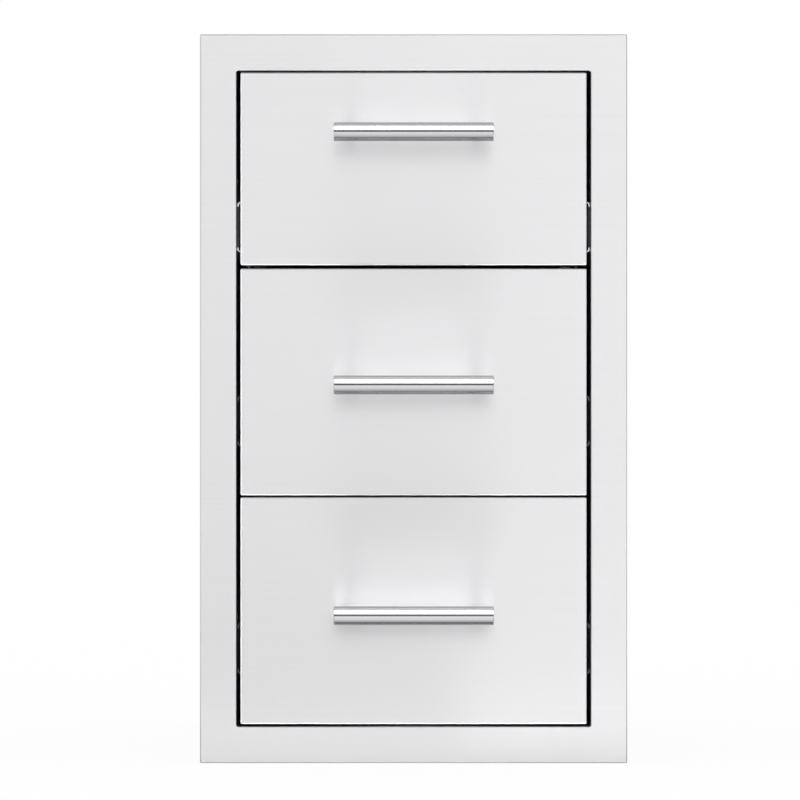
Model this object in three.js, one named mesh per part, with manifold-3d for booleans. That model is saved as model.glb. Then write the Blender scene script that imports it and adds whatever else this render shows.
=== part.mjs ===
// Built-in outdoor kitchen drawer unit: three drawers on telescopic ball slides, in a folded stainless housing
// with a mitred face frame that lands on the island round its cut-out.
// Millimetres, +Z up, fronts facing -Y. The origin is on the plane where the frame lands on the island,
// midway across the frame's width and midway up its lower landing lip.
import * as THREE from 'three';
import { mergeVertices } from 'three/addons/utils/BufferGeometryUtils.js';
import Module from 'manifold-3d';

const wasm = await Module();
wasm.setup();

// Clearances and working values shared by the whole unit
const seam = 0.3; // between two sheets that lie on each other
const overrun = 2; // how far a cutting tool runs past what it cuts
const foldSteps = 3; // straight facets in one fold

// Face frame: one sheet folded into a flange, an outer return with a landing lip, and an inner jamb
const frameWidth = 431.8;
const frameHeight = 736.6;
const frameSheet = 1.2;
const frameFold = 1.1; // radius of a fold at the middle of the sheet
const openingFold = 0.9; // the crisper fold round the opening
const flangeWidth = 36.8;
const flangeDepth = 12.7;
const landingLip = 10;
const jambDepth = 25;
const fixingHole = 5.5; // for the screws that hold the unit in its cut-out
const fixingHoleSetback = 11; // behind the landing plane
const fixingHoleFromCorner = 110;
const fixingHoleFacets = 12;

// Housing behind the frame
const housingSheet = 1;
const housingFold = 2;
const joggle = 2.55; // step from the land on the jamb out to the wall of the housing
const joggleRun = 6;
const joggleLand = 18;
const housingSetback = 2; // front edge of the housing behind the landing plane
const sideFlange = 12; // turned edges of the top, bottom and back
const rearClearance = 42.3; // between the slides and the rear of the housing

// Telescopic slides, full extension
const slideLength = 457.2;
const slideHeight = 50.8;
const slideSetback = 8.5; // front end of the slides behind the landing plane
const slideSheet = 1.2;
const slideFold = 2.06;
const ballDiameter = 3.9;
const ballPlay = 0.15;
const cageSheet = 0.5;
const cagePlay = 0.3;
const raceTilt = 20; // degrees from the line across the slide to the line between the two ball rows
const ballsPerRow = 4;
const cageEndSpace = 20; // between a cage and the end of the track that it can use
const slideHole = 5;
const slideHoleFacets = 8;
const trayBoltOffset = 14; // screws into the tray, behind those into the uprights
const raceSteps = 3;

// Uprights that carry the slides
const uprightSheet = 1.2;
const uprightFlange = 9;
const uprightWeb = 24;
const uprightFold = 1;
const uprightFromJamb = 8;
const uprightFromSlideEnd = 12;

// Drawer fronts: an outer pan closed by a liner
const topFrontHeight = 194.8;
const revealTop = 1.8;
const revealUpper = 3.4;
const revealLower = 1.9;
const revealBottom = 2.6;
const revealSide = 4;
const frontDepth = 19;
const frontSheet = 1.2;
const frontFold = 1.1;
const linerSheet = 0.8;
const linerFold = 1.5;
const linerReturn = 11;

// Drawer trays
const traySheet = 1;
const trayFold = 2;
const trayFloorRise = 12; // underside of the tray above the lower edge of the front
const trayRimDrop = 32; // rim of the tray below the upper edge of the front
const trayShortfall = 3; // rear of the tray before the end of its slides
const trayFlange = 12; // turned edges of the front and rear corners
const hemHeight = 9;
const hemFold = 1.1;
const hemSpace = 2.6; // from the middle of a wall to the middle of its hem
const cornerRelief = 0.4; // notch where the folds of the tray meet
const topSlideRise = 39.5; // middle of the slides above the lower edge of the top front
const lowerSlideRise = 75; // the same for the middle and bottom drawers

// Bar handles
const barDiameter = 19.05;
const barLength = 160.4;
const barChamfer = 0.9;
const barFacets = 28;
const fingerSpace = 26; // between the front and the bar
const topBarDrop = 62.2; // centre line of the bar below the upper edge of the top front
const lowerBarDrop = 117.7; // the same for the middle and bottom fronts
const postInset = 16.2; // from the end of the bar to the axis of a post
const postDiameter = 10;
const postFacets = 12;
const collarDiameter = 14;
const collarHeight = 2;
const collarEdge = 0.6;
const studDiameter = 5;
const studLength = 10; // thread behind the front
const studPlay = 0.5;
const studFacets = 8;

// Levels and planes worked out from the sizes above
const frameMiddle = (frameHeight - landingLip) / 2;
const openingWidth = frameWidth - 2 * flangeWidth;
const openingHeight = frameHeight - 2 * flangeWidth;
const openingTop = frameMiddle + openingHeight / 2;
const openingBottom = frameMiddle - openingHeight / 2;
const jambOuterHalfWidth = openingWidth / 2 + frameSheet;
const jambOuterHalfHeight = openingHeight / 2 + frameSheet;
const wallInnerHalfWidth = jambOuterHalfWidth + seam + joggle;
const wallInnerHalfHeight = jambOuterHalfHeight + seam + joggle;
const housingRear = slideSetback + slideLength + rearClearance;
const faceY = -flangeDepth;
const slideBack = openingWidth / 2 - seam; // plane of the slides' outer faces, from the middle of the unit
const frontWidth = openingWidth - 2 * revealSide;
const frontRear = faceY + frontDepth;
const barY = faceY - fingerSpace - barDiameter / 2;
const postAcross = barLength / 2 - postInset;
const uprightSlope = wallInnerHalfWidth - slideBack - 2 * seam - uprightSheet;
const uprightMiddle = uprightFlange + uprightSlope + uprightWeb / 2;
const uprightFronts = [
  jambDepth + uprightFromJamb,
  slideSetback + slideLength - uprightFromSlideEnd - 2 * uprightMiddle,
];

// Sections of the slides, measured from their outer face inwards (across) and from their mid height (up)
const raceRadius = ballDiameter / 2 + ballPlay + slideSheet / 2;
const outerWebAcross = slideSheet / 2;
const outerCageAcross = slideSheet + cagePlay + cageSheet / 2;
const middleWebAcross = slideSheet + 2 * cagePlay + cageSheet + slideSheet / 2;
const innerCageAcross = middleWebAcross + slideSheet / 2 + cagePlay + cageSheet / 2;
const outerBall = new THREE.Vector2(
  middleWebAcross + slideFold,
  slideHeight / 2 - slideSheet / 2 - raceRadius,
);
const innerBall = polar(outerBall, 2 * raceRadius, -raceTilt);
const innerWebAcross = innerBall.x + slideFold;
const slideThickness = innerWebAcross + slideSheet / 2;
const outerWrap = 30; // degrees at which each race ends, round its own balls
const middleWrap = 45;
const innerWrap = -125;
const trayHalfWidth = slideBack - slideThickness - seam;

// The drawers, from the top down
const lowerFrontHeight =
  (openingHeight - revealTop - revealUpper - revealLower - revealBottom - topFrontHeight) / 2;
const drawers = [
  {
    name: 'top',
    frontBottom: openingTop - revealTop - topFrontHeight,
    frontHeight: topFrontHeight,
    slideRise: topSlideRise,
    barDrop: topBarDrop,
  },
  {
    name: 'middle',
    frontBottom: openingBottom + revealBottom + lowerFrontHeight + revealLower,
    frontHeight: lowerFrontHeight,
    slideRise: lowerSlideRise,
    barDrop: lowerBarDrop,
  },
  {
    name: 'bottom',
    frontBottom: openingBottom + revealBottom,
    frontHeight: lowerFrontHeight,
    slideRise: lowerSlideRise,
    barDrop: lowerBarDrop,
  },
];

// Finishes
const brushedSteel = steel(0xdadbdc, 0.34);
const polishedSteel = steel(0xd6d8da, 0.26);
const sheetSteel = steel(0xbfc2c5, 0.45);
const platedSteel = steel(0xaeb4ba, 0.38);
const cageSteel = steel(0x8f959b, 0.5);

function steel(color, roughness) {
  return new THREE.MeshStandardMaterial({ color, roughness, metalness: 0.9 });
}

// Plane geometry

function polar(centre, radius, degrees) {
  const angle = THREE.MathUtils.degToRad(degrees);
  return new THREE.Vector2(centre.x + radius * Math.cos(angle), centre.y + radius * Math.sin(angle));
}

function arc(centre, radius, fromDegrees, toDegrees, steps) {
  return Array.from({ length: steps + 1 }, (_, i) =>
    polar(centre, radius, fromDegrees + ((toDegrees - fromDegrees) * i) / steps));
}

// Middle line of a folded sheet: each inner corner is rounded to its own radius or the common one
function folded(corners, radius) {
  const points = corners.map(([x, y]) => new THREE.Vector2(x, y));
  return points.flatMap((corner, i) => {
    if (i === 0 || i === points.length - 1) return [corner];
    const bend = corners[i][2] ?? radius;
    const back = points[i - 1].clone().sub(corner).normalize();
    const ahead = points[i + 1].clone().sub(corner).normalize();
    const half = Math.acos(THREE.MathUtils.clamp(back.dot(ahead), -1, 1)) / 2;
    const centre = back.clone().add(ahead).normalize().multiplyScalar(bend / Math.sin(half)).add(corner);
    const start = back.multiplyScalar(bend / Math.tan(half)).add(corner).sub(centre);
    const end = ahead.multiplyScalar(bend / Math.tan(half)).add(corner).sub(centre);
    const turn = Math.atan2(start.cross(end), start.dot(end));
    return Array.from({ length: foldSteps + 1 }, (_, step) =>
      start.clone().rotateAround(new THREE.Vector2(), (turn * step) / foldSteps).add(centre));
  });
}

// Outline of a sheet from its middle line: both faces, offset along mitred normals
function sheetOutline(line, thickness) {
  const side = (sign) => line.map((point, i) => {
    const before = line[Math.max(i - 1, 0)];
    const after = line[Math.min(i + 1, line.length - 1)];
    const arrive = (i === 0 ? after.clone().sub(point) : point.clone().sub(before)).normalize();
    const leave = (i === line.length - 1 ? point.clone().sub(before) : after.clone().sub(point)).normalize();
    const along = arrive.clone().add(leave).normalize();
    const reach = (sign * thickness) / 2 / along.dot(leave);
    return new THREE.Vector2(point.x - along.y * reach, point.y + along.x * reach);
  });
  return [...side(1), ...side(-1).reverse()];
}

function mirroredUp(halfLine) {
  return [...halfLine.map((point) => new THREE.Vector2(point.x, -point.y)).reverse(), ...halfLine];
}

// Solid geometry

function prism(outline, length) {
  return new THREE.ExtrudeGeometry(new THREE.Shape(outline), { depth: length, bevelEnabled: false });
}

// Outline in X and Y, running up in Z from one level to another
function alongZ(outline, from, to) {
  return prism(outline, to - from).translate(0, 0, from);
}

// Outline in X and Z, running back in Y
function alongY(outline, from, to) {
  return prism(outline, to - from).rotateX(Math.PI / 2).translate(0, to, 0);
}

// Outline in Y and Z, running across in X
function alongX(outline, from, to) {
  const turn = new THREE.Matrix4().makeBasis(
    new THREE.Vector3(0, 1, 0),
    new THREE.Vector3(0, 0, 1),
    new THREE.Vector3(1, 0, 0),
  );
  return prism(outline, to - from).applyMatrix4(turn).translate(from, 0, 0);
}

// A section carried round a rectangle with square mitred corners. Each point of the section is its inset
// from the rectangle's edge and its place in Y. A closed section makes a ring, an open one is capped to a pan.
function mitred(section, halfWidth, halfHeight, closed) {
  const corners = [[1, -1], [1, 1], [-1, 1], [-1, -1]];
  const positions = section.flatMap(({ x: inset, y }) =>
    corners.flatMap(([a, b]) => [a * (halfWidth - inset), y, b * (halfHeight - inset)]));
  const faces = [];
  const strips = closed ? section.length : section.length - 1;
  for (let ring = 0; ring < strips; ring += 1) {
    const here = ring * corners.length;
    const next = ((ring + 1) % section.length) * corners.length;
    corners.forEach((_, k) => {
      const turn = (k + 1) % corners.length;
      faces.push(here + k, next + k, next + turn, here + k, next + turn, here + turn);
    });
  }
  if (!closed) {
    const last = (section.length - 1) * corners.length;
    faces.push(0, 1, 2, 0, 2, 3);
    faces.push(last, last + 2, last + 1, last, last + 3, last + 2);
  }
  const geometry = new THREE.BufferGeometry();
  geometry.setAttribute('position', new THREE.Float32BufferAttribute(positions, 3));
  geometry.setIndex(faces);
  return geometry;
}

// Section of a shallow pan: the outer face to the rim of its return, and back to the inner face
function panSection(face, direction, returnDepth, sheet, fold) {
  const outer = fold + sheet / 2;
  const inner = fold - sheet / 2;
  const at = (inset, depth) => new THREE.Vector2(inset, face + direction * depth);
  const bend = (radius) => arc(new THREE.Vector2(outer, outer), radius, 270, 180, foldSteps)
    .map((point) => at(point.x, point.y));
  return [...bend(outer), at(0, returnDepth), at(sheet, returnDepth), ...bend(inner).reverse()];
}

function solidOf(geometry) {
  const bare = geometry.clone();
  bare.deleteAttribute('normal');
  bare.deleteAttribute('uv');
  const merged = mergeVertices(bare);
  return new wasm.Manifold(new wasm.Mesh({
    numProp: 3,
    vertProperties: merged.attributes.position.array,
    triVerts: new Uint32Array(merged.index.array),
  }));
}

function geometryOf(solid) {
  const mesh = solid.getMesh();
  const geometry = new THREE.BufferGeometry();
  geometry.setAttribute('position', new THREE.BufferAttribute(mesh.vertProperties, mesh.numProp));
  geometry.setIndex(new THREE.BufferAttribute(mesh.triVerts, 1));
  return geometry;
}

function joined(...geometries) {
  return geometryOf(geometries.map(solidOf).reduce((whole, piece) => whole.add(piece)));
}

function cut(geometry, ...tools) {
  return geometryOf(tools.map(solidOf).reduce((rest, tool) => rest.subtract(tool), solidOf(geometry)));
}

function drill(diameter, length, facets) {
  return new THREE.CylinderGeometry(diameter / 2, diameter / 2, length, facets);
}

// A node of the unit. Its faces get their own normals, so folds and edges stay crisp.
function piece(name, geometry, material, x = 0, y = 0, z = 0) {
  const flat = geometry.index ? geometry.toNonIndexed() : geometry;
  flat.computeVertexNormals();
  const mesh = new THREE.Mesh(flat, material);
  mesh.name = name;
  mesh.position.set(x, y, z);
  return mesh;
}

// The same piece for the opposite side: turned half way round the axis that runs back in Y
function turned(mesh) {
  mesh.rotation.y = Math.PI;
  mesh.position.x *= -1;
  return mesh;
}

// Face frame

function faceFrame() {
  const half = frameSheet / 2;
  const line = folded(
    [
      [landingLip, -half],
      [half, -half],
      [half, faceY + half],
      [flangeWidth - half, faceY + half, openingFold],
      [flangeWidth - half, jambDepth],
    ],
    frameFold,
  );
  const outline = sheetOutline(line, frameSheet);
  if (THREE.ShapeUtils.area(outline) > 0) outline.reverse();
  const ring = mitred(outline, frameWidth / 2, frameHeight / 2, true);
  return piece('front_frame', cut(ring, ...fixingDrills()), brushedSteel, 0, 0, frameMiddle);
}

// Tools for the fixing holes, across the whole unit at two levels
function fixingDrills() {
  return [-1, 1].map((sign) =>
    drill(fixingHole, frameWidth, fixingHoleFacets)
      .rotateZ(Math.PI / 2)
      .translate(0, fixingHoleSetback, sign * (openingHeight / 2 - fixingHoleFromCorner)));
}

// Housing

// Middle line of a wall from its land on the jamb, over the joggle, to the rear: distance out, then Y
function wallLine(wallInner) {
  const land = wallInner - joggle + housingSheet / 2;
  const wall = wallInner + housingSheet / 2;
  return [
    [land, housingSetback],
    [land, housingSetback + joggleLand],
    [wall, housingSetback + joggleLand + joggleRun],
    [wall, housingRear],
  ];
}

function housingSide(name) {
  const outline = sheetOutline(folded(wallLine(wallInnerHalfWidth), housingFold), housingSheet);
  const halfHeight = wallInnerHalfHeight + housingSheet;
  const drills = fixingDrills().map((tool) => tool.translate(frameWidth / 2, 0, 0));
  return piece(name, cut(alongZ(outline, -halfHeight, halfHeight), ...drills), sheetSteel, 0, 0, frameMiddle);
}

// Top or bottom: the wall's own section, and turned side flanges that lie inside the housing's sides
function housingDeck(name) {
  const section = folded(
    wallLine(wallInnerHalfHeight).map(([out, y]) => [y, out]),
    housingFold,
  );
  const wall = alongX(sheetOutline(section, housingSheet), -jambOuterHalfWidth, jambOuterHalfWidth);
  const across = wallInnerHalfWidth - seam - housingSheet / 2;
  const level = wallInnerHalfHeight + housingSheet / 2;
  const line = folded(
    [
      [-across, level - sideFlange],
      [-across, level],
      [across, level],
      [across, level - sideFlange],
    ],
    housingFold,
  );
  const front = housingSetback + joggleLand + joggleRun + housingFold;
  const flanges = alongY(sheetOutline(line, housingSheet), front, housingRear - sideFlange - seam);
  return piece(name, joined(wall, flanges), sheetSteel, 0, 0, frameMiddle);
}

function housingBack() {
  const section = panSection(housingRear, -1, sideFlange, housingSheet, housingFold);
  const pan = mitred(section.reverse(), wallInnerHalfWidth - seam, wallInnerHalfHeight - seam, false);
  return piece('housing_back', pan, sheetSteel, 0, 0, frameMiddle);
}

// Uprights: shallow hat sections on the housing's sides

function upright(name, front) {
  const wall = wallInnerHalfWidth - seam - uprightSheet / 2;
  const web = slideBack + seam + uprightSheet / 2;
  const steps = [uprightFlange, uprightSlope, uprightWeb, uprightSlope, uprightFlange];
  const across = [wall, wall, web, web, wall, wall];
  const corners = across.map((out, i) => [out, front + steps.slice(0, i).reduce((sum, step) => sum + step, 0)]);
  const outline = sheetOutline(folded(corners, uprightFold), uprightSheet);
  const halfHeight = wallInnerHalfHeight - sideFlange - seam;
  return piece(name, alongZ(outline, -halfHeight, halfHeight), sheetSteel, 0, 0, frameMiddle);
}

// Slides: each line below is the upper half of a section, and its mirror image completes it

function slideLines() {
  const top = outerBall.y + raceRadius;
  const shelf = outerBall.y - raceRadius;
  const hook = innerBall.y - raceRadius;
  const fold = (across, level, from) =>
    arc(new THREE.Vector2(across, level - slideFold), slideFold, from, 90, foldSteps);
  return {
    outer: [
      ...fold(outerWebAcross + slideFold, top, 180),
      ...arc(outerBall, raceRadius, 90, outerWrap, raceSteps),
    ],
    middle: [
      ...fold(outerBall.x, shelf, 180),
      ...arc(outerBall, raceRadius, -90, -raceTilt, raceSteps).slice(1),
      ...arc(innerBall, raceRadius, 180 - raceTilt, middleWrap, 2 * raceSteps - 1).slice(1),
    ],
    inner: [
      ...fold(innerBall.x, hook, 0),
      ...arc(innerBall, raceRadius, -90, innerWrap, raceSteps - 1).slice(1),
    ],
    outerCage: [new THREE.Vector2(outerCageAcross, outerBall.y), outerBall],
    innerCage: [new THREE.Vector2(innerCageAcross, shelf - slideFold - cageSheet), innerBall],
  };
}

function slideMember(line, boltPlaces) {
  const member = alongY(sheetOutline(mirroredUp(line), slideSheet), slideSetback, slideSetback + slideLength);
  const across = line[0].x;
  const drills = boltPlaces.map((y) =>
    drill(slideHole, slideThickness, slideHoleFacets).rotateZ(Math.PI / 2).translate(across, y, 0));
  return drills.length ? cut(member, ...drills) : member;
}

// A strip between two members, with a row of balls along each edge
function ballCage(line, ball) {
  const length = slideLength / 2 - 2 * cageEndSpace;
  const from = slideSetback + slideLength / 4 + cageEndSpace;
  const strip = alongY(sheetOutline(mirroredUp(line), cageSheet), from, from + length);
  const pitch = length / ballsPerRow;
  const balls = [-1, 1].flatMap((row) =>
    Array.from({ length: ballsPerRow }, (_, i) =>
      new THREE.IcosahedronGeometry(ballDiameter / 2)
        .translate(ball.x, from + pitch * (i + 1 / 2), row * ball.y)));
  return joined(strip, ...balls);
}

function slidePair(drawer) {
  const level = drawer.frontBottom + drawer.slideRise;
  const lines = slideLines();
  const uprightBolts = uprightFronts.map((front) => front + uprightMiddle);
  const trayBolts = uprightBolts.map((y) => y + trayBoltOffset);
  const parts = [
    ['slide_outer', slideMember(lines.outer, uprightBolts), platedSteel],
    ['outer_cage', ballCage(lines.outerCage, outerBall), cageSteel],
    ['slide_middle', slideMember(lines.middle, []), platedSteel],
    ['inner_cage', ballCage(lines.innerCage, innerBall), cageSteel],
    ['slide_inner', slideMember(lines.inner, trayBolts), platedSteel],
  ];
  return parts.flatMap(([name, geometry, material]) => [
    piece(`${drawer.name}_${name}_left`, geometry, material, -slideBack, 0, level),
    turned(piece(`${drawer.name}_${name}_right`, geometry, material, -slideBack, 0, level)),
  ]);
}

// Drawer fronts

function frontPanel(drawer) {
  const section = panSection(faceY, 1, frontDepth, frontSheet, frontFold);
  const pan = mitred(section, frontWidth / 2, drawer.frontHeight / 2, false);
  const drills = [-1, 1].map((side) =>
    drill(studDiameter + 2 * studPlay, frontSheet + 2 * overrun, studFacets)
      .translate(side * postAcross, faceY + frontSheet / 2, drawer.frontHeight / 2 - drawer.barDrop));
  return piece(`${drawer.name}_front_panel`, cut(pan, ...drills), brushedSteel, 0, 0, frontMiddle(drawer));
}

function frontLiner(drawer) {
  const section = panSection(frontRear, -1, linerReturn, linerSheet, linerFold);
  const inset = frontSheet + seam;
  const pan = mitred(section.reverse(), frontWidth / 2 - inset, drawer.frontHeight / 2 - inset, false);
  return piece(`${drawer.name}_front_liner`, pan, sheetSteel, 0, 0, frontMiddle(drawer));
}

function frontMiddle(drawer) {
  return drawer.frontBottom + drawer.frontHeight / 2;
}

// Tray: folded from one sheet, with hemmed rims and turned corner flanges

function tray(drawer) {
  const half = traySheet / 2;
  const side = trayHalfWidth - half;
  const front = frontRear + seam;
  const rear = slideSetback + slideLength - trayShortfall;
  const floor = trayFloorRise + half;
  const rim = drawer.frontHeight - trayRimDrop;
  const corner = trayFold + half + cornerRelief;
  const hem = (place) => [
    [place, rim - half, hemFold],
    [place + hemSpace, rim - half, hemFold],
    [place + hemSpace, rim - hemHeight],
  ];
  const rightWall = [[0, floor], [side, floor], ...hem(side)];
  const leftWall = rightWall.slice(1).reverse().map(([x, z, radius]) => [-x, z, radius]);
  const trough = folded([...leftWall, ...rightWall.slice(1)], trayFold);
  const backAndFloor = folded(
    [[front + half, floor + trayFlange], [front + half, floor], [rear - half, floor], ...hem(rear - half)],
    trayFold,
  );
  const wallAndFlanges = (way) => folded(
    [
      [way * (side - trayFlange), front + half],
      [way * side, front + half],
      [way * side, rear - half],
      [way * (side - trayFlange), rear - half],
    ],
    trayFold,
  );
  const shape = joined(
    alongY(sheetOutline(trough, traySheet), front + corner, rear - corner),
    alongX(sheetOutline(backAndFloor, traySheet), corner - trayHalfWidth, trayHalfWidth - corner),
    ...[-1, 1].map((way) =>
      alongZ(sheetOutline(wallAndFlanges(way), traySheet), trayFloorRise + corner, rim - corner)),
  );
  return piece(`${drawer.name}_tray`, shape, sheetSteel, 0, 0, drawer.frontBottom);
}

// Handle: a round bar on two posts whose ends are cut to sit round it

function handleBar(drawer) {
  const radius = barDiameter / 2;
  const half = barLength / 2;
  const profile = [
    [0, -half],
    [radius - barChamfer, -half],
    [radius, barChamfer - half],
    [radius, half - barChamfer],
    [radius - barChamfer, half],
    [0, half],
  ].map(([x, y]) => new THREE.Vector2(x, y));
  const bar = new THREE.LatheGeometry(profile, barFacets).rotateZ(Math.PI / 2);
  return piece(`${drawer.name}_handle_bar`, bar, polishedSteel, 0, barY, barLevel(drawer));
}

function handlePost(drawer, side, way) {
  const profile = [
    [0, -studLength],
    [studDiameter / 2, -studLength],
    [studDiameter / 2, seam],
    [collarDiameter / 2, seam],
    [collarDiameter / 2, collarHeight - collarEdge],
    [collarDiameter / 2 - collarEdge, collarHeight],
    [postDiameter / 2, collarHeight],
    [postDiameter / 2, fingerSpace + barDiameter / 4],
    [0, fingerSpace + barDiameter / 4],
  ].map(([x, y]) => new THREE.Vector2(x, y));
  const post = new THREE.LatheGeometry(profile, postFacets).rotateX(Math.PI).translate(0, faceY, 0);
  const seat = drill(barDiameter + 2 * seam, postDiameter + 2 * overrun, barFacets)
    .rotateZ(Math.PI / 2)
    .translate(0, barY, 0);
  const name = `${drawer.name}_handle_post_${side}`;
  return piece(name, cut(post, seat), polishedSteel, way * postAcross, 0, barLevel(drawer));
}

function barLevel(drawer) {
  return drawer.frontBottom + drawer.frontHeight - drawer.barDrop;
}

// The unit: the fixed cabinet, and each drawer with what moves with it

const cabinet = new THREE.Group();
cabinet.add(
  faceFrame(),
  housingSide('housing_right_side'),
  turned(housingSide('housing_left_side')),
  housingDeck('housing_top'),
  turned(housingDeck('housing_bottom')),
  housingBack(),
);
['front', 'rear'].forEach((place, i) => {
  cabinet.add(upright(`upright_${place}_right`, uprightFronts[i]));
  cabinet.add(turned(upright(`upright_${place}_left`, uprightFronts[i])));
});

const unit = new THREE.Group();
unit.add(cabinet);
drawers.forEach((drawer) => {
  const group = new THREE.Group();
  group.add(
    frontPanel(drawer),
    frontLiner(drawer),
    tray(drawer),
    handleBar(drawer),
    handlePost(drawer, 'left', -1),
    handlePost(drawer, 'right', 1),
    ...slidePair(drawer),
  );
  unit.add(group);
});

export default unit;
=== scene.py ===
"""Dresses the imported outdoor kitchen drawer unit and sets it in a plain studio."""

import math

import bmesh
import bpy
from bpy.props import FloatProperty, FloatVectorProperty, IntProperty, PointerProperty
from mathutils import Matrix, Vector


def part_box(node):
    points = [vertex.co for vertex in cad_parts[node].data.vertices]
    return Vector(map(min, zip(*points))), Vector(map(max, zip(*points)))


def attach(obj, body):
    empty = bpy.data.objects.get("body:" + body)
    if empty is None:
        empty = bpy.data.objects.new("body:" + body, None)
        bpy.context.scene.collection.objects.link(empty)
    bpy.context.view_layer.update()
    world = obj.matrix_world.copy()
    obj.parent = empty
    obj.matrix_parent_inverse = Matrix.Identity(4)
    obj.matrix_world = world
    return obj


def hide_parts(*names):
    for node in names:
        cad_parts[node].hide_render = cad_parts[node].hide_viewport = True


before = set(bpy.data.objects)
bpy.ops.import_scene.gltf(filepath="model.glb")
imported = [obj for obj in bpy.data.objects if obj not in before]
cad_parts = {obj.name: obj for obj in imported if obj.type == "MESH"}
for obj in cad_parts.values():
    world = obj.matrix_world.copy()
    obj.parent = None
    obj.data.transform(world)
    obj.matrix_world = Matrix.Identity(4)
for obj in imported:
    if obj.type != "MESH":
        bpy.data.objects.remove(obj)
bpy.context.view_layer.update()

bl_info = {
    "name": "Outdoor kitchen drawer unit",
    "version": (1, 0, 0),
    "blender": (4, 5, 0),
    "location": "View3D > Sidebar > Drawer unit",
    "description": "Folded steel face frame, drawer fronts, bar handles, slides, fasteners and a studio",
    "category": "Add Mesh",
}

MM = 0.001
DRAWERS = ("top", "middle", "bottom")
SIDES = (("left", -1), ("right", 1))
CABINET = "cabinet"

# Faces that meet at more than this keep a crisp edge between them
CRISP_ANGLE = math.radians(32)

# Narrow flat strip beside each fold, which keeps the wide faces flat in the light
FLAT_STRIP = 0.25 * MM

# Sheet gauges, holes and gaps, as in the CAD model
FRAME_SHEET = 1.2 * MM
LANDING_LIP = 10 * MM
FRONT_SHEET = 1.2 * MM
FIXING_HOLE = 5.5 * MM
FIXING_HOLE_SETBACK = 11 * MM
FIXING_HOLE_FROM_CORNER = 110 * MM
STUD_HOLE = 6 * MM
STUD = 5 * MM
HANDLE_SEAM = 0.3 * MM
JAMB_PLAY = 0.3 * MM

# Where the housing laps the jamb: from the island's face to the welds, and its step inwards
LAND_DEPTH = 15.5 * MM
LAND_STEP = 2.55 * MM

# Screws of a tray: along its slides, and from its edges along its front
SLIDE_SCREWS = (70.55 * MM, 444.15 * MM)
SCREWS_FROM_SIDE = 6.6 * MM
SCREWS_FROM_FLOOR = 7.2 * MM
SCREWS_FROM_CORNER = 34 * MM
FLOOR_SCREWS = (-70 * MM, 70 * MM)
TRAY_SHEET = 1 * MM

# Rows of welds and rivets: from the sheet's edge to the row, or to the first mark in it
SIDE_FIRST = 42 * MM
UPRIGHT_ROW = 4.5 * MM
UPRIGHT_FIRST = 30 * MM
DECK_ROW = 7.5 * MM
BACK_ROW = 6.5 * MM
BACK_FIRST = 40 * MM

# Gap between the frame and the floor under it
FLOOR_GAP = 0.2 * MM

# Share of a slide's height that a rolled lip takes: the painted shade on the cut ends leaves it out, so it
# stays bright there
LIP_SHARE = 0.09

# Radii that are as good as sharp: at a corner, and where a turned shape ends on its axis
LEAST_CORNER = 0.12 * MM
LEAST_RADIUS = 0.02 * MM

# Facets of a quarter turn on a small edge, and round a fastener
EDGE_STEPS = 4
FASTENER_FACETS = 24

X_AXIS, Z_AXIS = 0, 2

# Scales of the noise along X, Y and Z: small where it is drawn out
BRUSH_GRAIN = (3, 1100, 1100)
BRUSH_CLOUD = (5, 5, 9)
LATHE_RINGS = (2400, 12, 12)
ROLLING_LINES = (260, 6, 260)
ZINC_GRAIN = (420, 60, 420)
ZINC_CLOUD = (30, 12, 30)

# How squarely a face of a slide looks along Y when it is a cut end
END_FACING = 0.9


def size_property(label, text, default, smallest=0.0):
    return FloatProperty(
        name=label, description=text, default=default, min=smallest, subtype="DISTANCE", unit="LENGTH"
    )


def share_property(label, text, default):
    return FloatProperty(name=label, description=text, default=default, min=0, max=1, subtype="FACTOR")


def colour_property(label, text, default):
    return FloatVectorProperty(
        name=label, description=text, default=default, min=0, max=1, size=3, subtype="COLOR"
    )


def middle_of(node, axis):
    """Middle of a node's box along an axis."""
    low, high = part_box(node)
    return (low[axis] + high[axis]) / 2


# Plane outlines


def folded(corners, radius, steps):
    """Middle line of a folded sheet: each inner corner is a bend, of its own radius or the common one."""
    points = [Vector(corner[:2]) for corner in corners]
    bends = [corner[2] if len(corner) > 2 else radius for corner in corners[1:-1]]
    line = [points[0]]
    for before, corner, after, radius in zip(points, points[1:], points[2:], bends):
        back = (before - corner).normalized()
        ahead = (after - corner).normalized()
        half = back.angle(ahead) / 2
        centre = corner + (back + ahead).normalized() * (radius / math.sin(half))
        start = corner + back * (radius / math.tan(half)) - centre
        end = corner + ahead * (radius / math.tan(half)) - centre
        turn = math.atan2(start.x * end.y - start.y * end.x, start.dot(end))
        line.append(centre + start + back * FLAT_STRIP)
        for step in range(steps + 1):
            line.append(centre + Matrix.Rotation(turn * step / steps, 2) @ start)
        line.append(centre + end + ahead * FLAT_STRIP)
    line.append(points[-1])
    return line


def sheet_outline(line, thickness):
    """Both faces of a sheet that follows a middle line, as one closed outline."""
    left, right = [], []
    last = len(line) - 1
    for i, point in enumerate(line):
        arrive = (line[max(i, 1)] - line[max(i, 1) - 1]).normalized()
        leave = (line[min(i, last - 1) + 1] - line[min(i, last - 1)]).normalized()
        along = (arrive + leave).normalized()
        reach = thickness / 2 / along.dot(leave)
        normal = Vector((-along.y, along.x))
        left.append(point + normal * reach)
        right.append(point - normal * reach)
    return left + right[::-1]


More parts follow.
